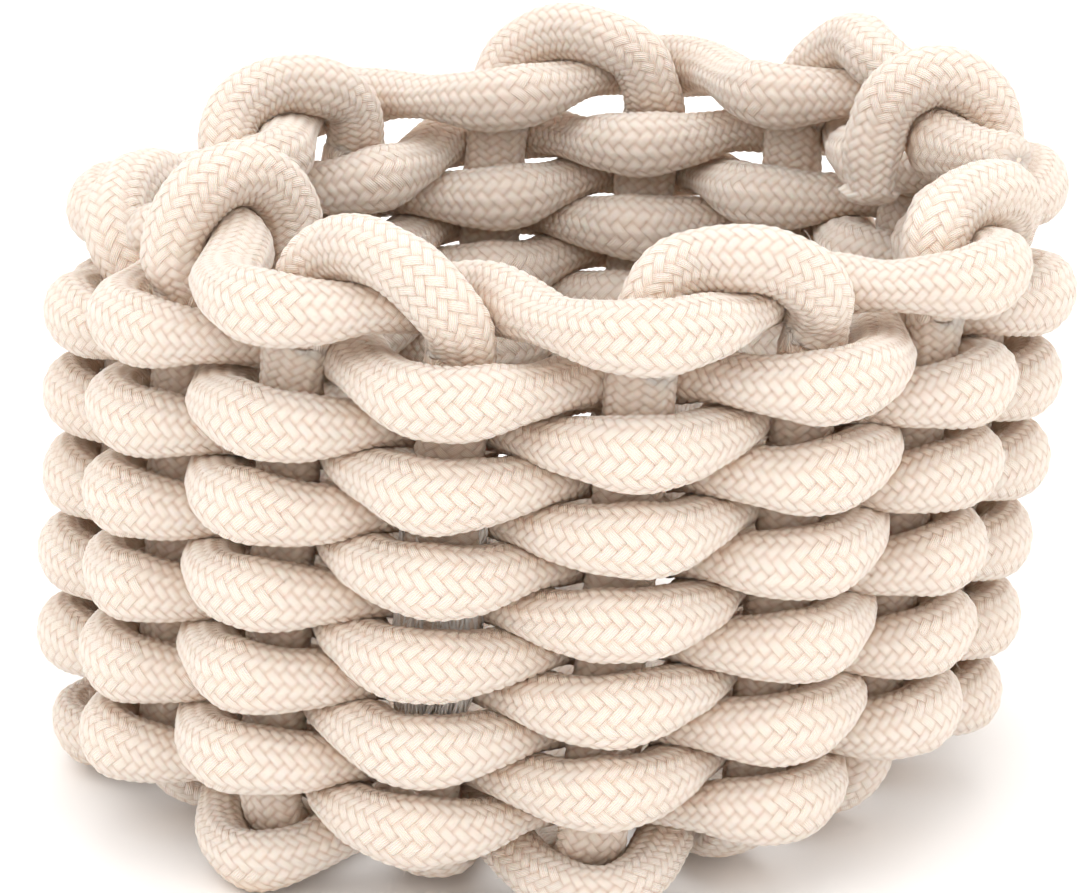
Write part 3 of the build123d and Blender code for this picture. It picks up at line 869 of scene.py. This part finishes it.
def make_fuzz(ropes, material):
    """Short loose fibres that stand off the ropes."""
    rng = np.random.default_rng(3)
    roots, normals = [], []
    for rope in ropes:
        count = len(rope.data.vertices)
        place, normal = np.empty((2, count * 3), np.float32)
        rope.data.vertices.foreach_get("co", place)
        rope.data.vertices.foreach_get("normal", normal)
        chosen = rng.integers(0, count, int(count * FIBRES_PER_POINT))
        roots.append(place.reshape(-1, 3)[chosen] / MM)
        normals.append(normal.reshape(-1, 3)[chosen])
    root, normal = np.concatenate(roots), np.concatenate(normals)
    lean = unit(rng.normal(size=root.shape))
    lean = unit(lean - normal * (lean * normal).sum(axis=1, keepdims=True))
    curl = np.cross(lean, normal) * rng.uniform(-FIBRE_CURL, FIBRE_CURL, (len(root), 1))
    share = np.linspace(0, 1, FIBRE_POINTS)[:, None]
    length = rng.uniform(*FIBRE_LENGTHS, (len(root), 1, 1))
    rise = FIBRE_RISE * share - FIBRE_DROOP * share ** 2
    path = lean[:, None] * share + normal[:, None] * rise + curl[:, None] * share ** 2
    paths = (root - FIBRE_ROOT * normal)[:, None] + path * length
    paths[..., 2] = np.maximum(paths[..., 2], LEAST_FIBRE_LEVEL)
    fibres = thin_tubes("loose_fibres", paths, rng.uniform(*FIBRE_RADII, len(root)), FIBRE_SIDES)
    fibres.data.materials.append(material)
    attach(fibres, "root")


# Floor, light and camera, in metres, watts and degrees

FLOOR_SIZE = 12
WORLD_STRENGTH = 1.3
LAMPS = [                     # name, place, size, power
    ("key", (-0.7, -1.1, 1.5), 1.2, 7),
    ("fill", (1.2, -0.9, 0.8), 1.4, 3),
    ("top", (0.1, 0.5, 1.7), 1.3, 9),
]
SENSOR_WIDTH, LENS = 36, 144.5    # millimetres
CAMERA_CLIP = (0.05, 50)
CAMERA_TARGET = (-0.0036, 0.0, 0.0954)
CAMERA_ELEVATION = 19.5
CAMERA_TURN = 1.9
CAMERA_DISTANCE = 1.3


def make_studio(low, high):
    middle = (low + high) / 2
    bpy.ops.mesh.primitive_plane_add(size=FLOOR_SIZE, location=(middle.x, middle.y, low.z))
    floor = bpy.context.object
    floor.name = "floor"
    floor.data.materials.append(floor_material())
    world = bpy.data.worlds.new("studio")
    bpy.context.scene.world = world
    world.use_nodes = True
    background = world.node_tree.nodes["Background"]
    background.inputs["Color"].default_value = (*STUDIO_WHITE, 1)
    background.inputs["Strength"].default_value = WORLD_STRENGTH
    for name, place, size, power in LAMPS:
        light = bpy.data.lights.new(name, "AREA")
        light.size = size
        light.energy = power
        light.color = STUDIO_WHITE
        lamp = bpy.data.objects.new(name, light)
        bpy.context.scene.collection.objects.link(lamp)
        lamp.location = place
        lamp.rotation_mode = "QUATERNION"
        lamp.rotation_quaternion = (middle - Vector(place)).to_track_quat("-Z", "Y")


def make_camera():
    camera = bpy.data.cameras.new("camera")
    camera.sensor_width, camera.lens = SENSOR_WIDTH, LENS
    camera.clip_start, camera.clip_end = CAMERA_CLIP
    holder = bpy.data.objects.new("camera", camera)
    bpy.context.scene.collection.objects.link(holder)
    elevation, turned = np.radians(CAMERA_ELEVATION), np.radians(CAMERA_TURN)
    back = Vector((
        np.sin(turned) * np.cos(elevation),
        -np.cos(turned) * np.cos(elevation),
        np.sin(elevation),
    ))
    holder.location = Vector(CAMERA_TARGET) + back * CAMERA_DISTANCE
    holder.rotation_mode = "QUATERNION"
    holder.rotation_quaternion = (-back).to_track_quat("-Z", "Y")
    bpy.context.scene.camera = holder


braid, yarn = braid_material(), yarn_material()
make_weavers(braid)
make_cross_ropes(braid)
make_rim(braid)
make_fray(yarn)
make_fuzz([piece for piece in bpy.data.objects if piece.name.endswith("_braid")], yarn)
make_studio(*cad_box)
make_camera()
bpy.context.scene.view_settings.view_transform = "Standard"
